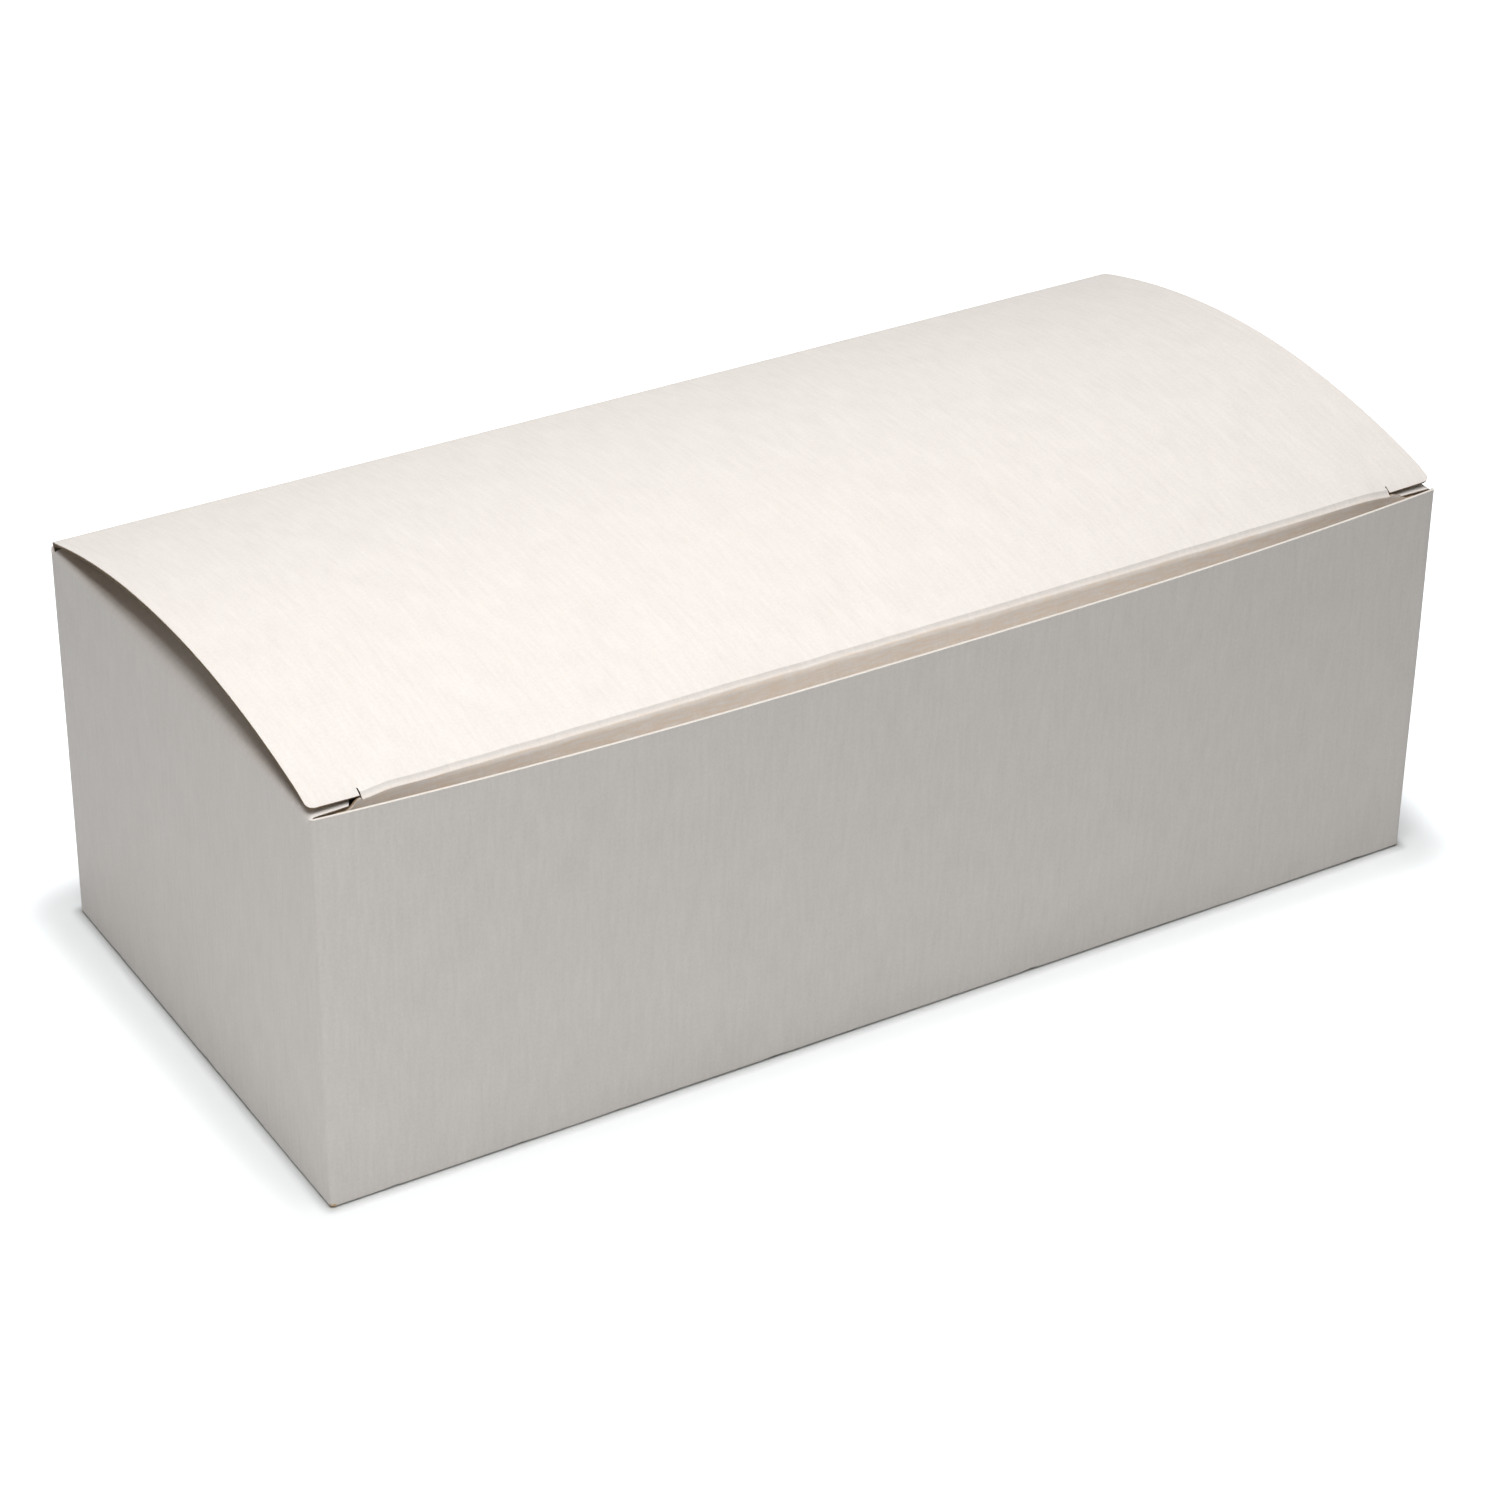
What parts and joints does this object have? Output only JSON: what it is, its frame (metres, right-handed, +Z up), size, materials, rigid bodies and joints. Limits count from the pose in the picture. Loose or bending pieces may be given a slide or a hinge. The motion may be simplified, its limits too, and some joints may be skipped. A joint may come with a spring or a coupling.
{
  "type": "folding paperboard carton",
  "caption": "Shut folding paperboard carton for sweets or pastry, with an arched tuck lid, slit-locked ears at its crease and a front wall that bows out at the top.",
  "frame": {"origin": "middle of the carton's box, on the surface it stands on", "axes": "+X along the length, to the right as seen from the front; -Y out of the bowed front wall; +Z up"},
  "size_m": [0.1778, 0.0858, 0.0675],
  "materials": {
    "board": "white clay coat, soft satin, faint fibre mottle",
    "raw_board": "uncoated grey-brown fibre of the cut edges and the inner side"
  },
  "bodies": {
    "root": {"carton": "board"}
  },
  "joints": []
}
